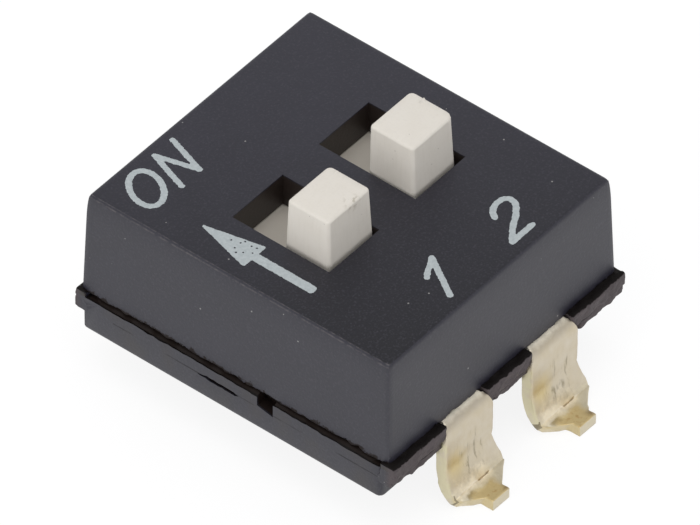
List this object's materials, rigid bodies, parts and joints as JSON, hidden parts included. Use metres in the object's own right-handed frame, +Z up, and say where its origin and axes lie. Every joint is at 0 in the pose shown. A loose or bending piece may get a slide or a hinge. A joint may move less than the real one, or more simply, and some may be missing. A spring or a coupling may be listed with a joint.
{
  "type": "dip switch",
  "caption": "Surface-mount slide switch block with numbered sliders, gull-wing solder feet and bridging spring contacts inside.",
  "frame": {"origin": "under the middle of the housing, in the plane of the solder feet", "axes": "X runs from position 1 to position 2, +Y points to ON, +Z is up and away from the circuit board"},
  "size_m": [0.0068, 0.0094, 0.0055],
  "materials": {
    "housing": "dark slate grey moulded thermoplastic, fine matte texture",
    "base": "dark slate grey moulded thermoplastic with rough parting lines",
    "slider": "warm off-white moulded thermoplastic, satin",
    "spring": "gilt copper alloy spring strip",
    "terminal": "tin-plated copper alloy strip, lightly brushed and tarnished"
  },
  "bodies": {
    "housing": {"cover": "housing", "base": "base", "front_terminal_1": "terminal", "front_terminal_2": "terminal", "rear_terminal_1": "terminal", "rear_terminal_2": "terminal"},
    "position_1": {"slider_1": "slider", "moving_contact_1": "spring"},
    "position_2": {"slider_2": "slider", "moving_contact_2": "spring"}
  },
  "joints": [
    {"name": "slide_1", "type": "slide", "parent": "housing", "child": "position_1", "axis": [0, 1, 0], "range_m": [0, 0.0011]},
    {"name": "slide_2", "type": "slide", "parent": "housing", "child": "position_2", "axis": [0, 1, 0], "range_m": [0, 0.0011]}
  ]
}
